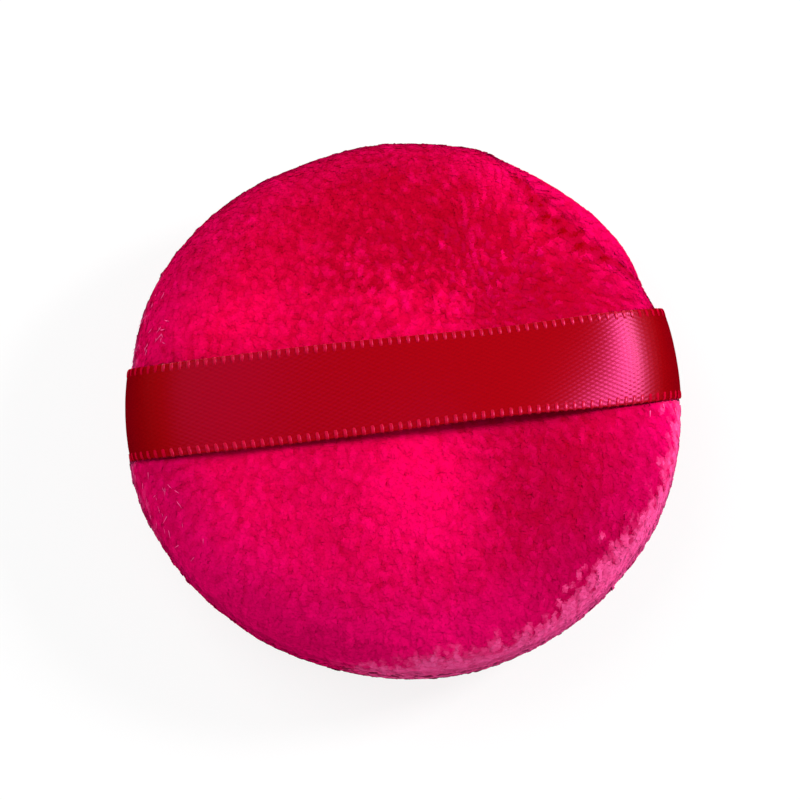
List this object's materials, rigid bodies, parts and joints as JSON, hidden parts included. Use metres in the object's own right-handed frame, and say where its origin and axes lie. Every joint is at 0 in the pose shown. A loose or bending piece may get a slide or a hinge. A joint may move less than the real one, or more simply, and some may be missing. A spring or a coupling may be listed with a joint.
{
  "type": "powder puff",
  "caption": "Round velour powder puff with a sponge filling, a turned rim seam closed by hand stitches, and a satin ribbon finger strap across its front.",
  "frame": {"origin": "centre of the resting patch on the back cover, on the surface that the puff lies on", "axes": "+Z is the puff's own axis, from the back up to the strap side; +X runs along the strap"},
  "size_m": [0.0596, 0.058, 0.0187],
  "materials": {
    "velour": "matte",
    "satin": "satin",
    "sponge": "matte",
    "thread": "matte"
  },
  "bodies": {
    "pad": {"front_cover": "velour", "back_cover": "velour", "foam_core": "sponge", "rim_seam_thread": "thread", "closing_thread": "thread"},
    "strap": {"ribbon_strap": "satin"}
  },
  "joints": [
    {"name": "strap_lift", "type": "slide", "parent": "pad", "child": "strap", "axis": [0, 0, 1], "range_m": [0, 0.007], "deforming": ["ribbon_strap"]}
  ]
}
